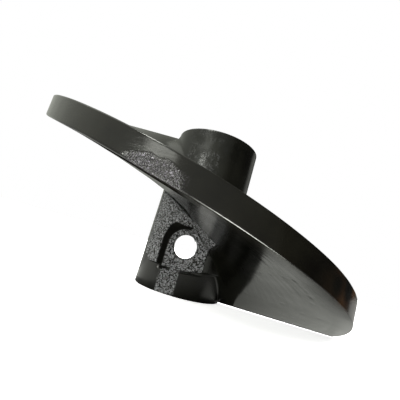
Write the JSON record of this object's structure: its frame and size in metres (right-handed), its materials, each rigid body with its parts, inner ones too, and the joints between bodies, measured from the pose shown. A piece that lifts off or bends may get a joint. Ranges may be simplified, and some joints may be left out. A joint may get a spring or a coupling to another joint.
{
  "type": "auger flight segment",
  "caption": "Cast half-turn auger flight on a half-round hub shell that bolts radially onto a drive shaft, for spreading bulk material.",
  "frame": {"origin": "on the shaft axis, at the hub's lower end", "axes": "+Z along the shaft axis from the end with the bolt to the other end, -Y outwards along the bolt, the split plane is y = 0"},
  "size_m": [0.38, 0.19, 0.189],
  "materials": {
    "smooth_enamel": "gloss black enamel brushed over smooth sand casting",
    "rough_cast_enamel": "gloss black enamel over coarse core sand texture",
    "rim_enamel": "semi-gloss black enamel over fine sand-cast texture"
  },
  "bodies": {
    "root": {"hub_shell": "smooth_enamel", "bolt_pad": "rough_cast_enamel", "flight_web": "smooth_enamel", "wear_rim": "rim_enamel", "upper_root_fillet": "smooth_enamel", "lower_root_fillet": "smooth_enamel"}
  },
  "joints": []
}
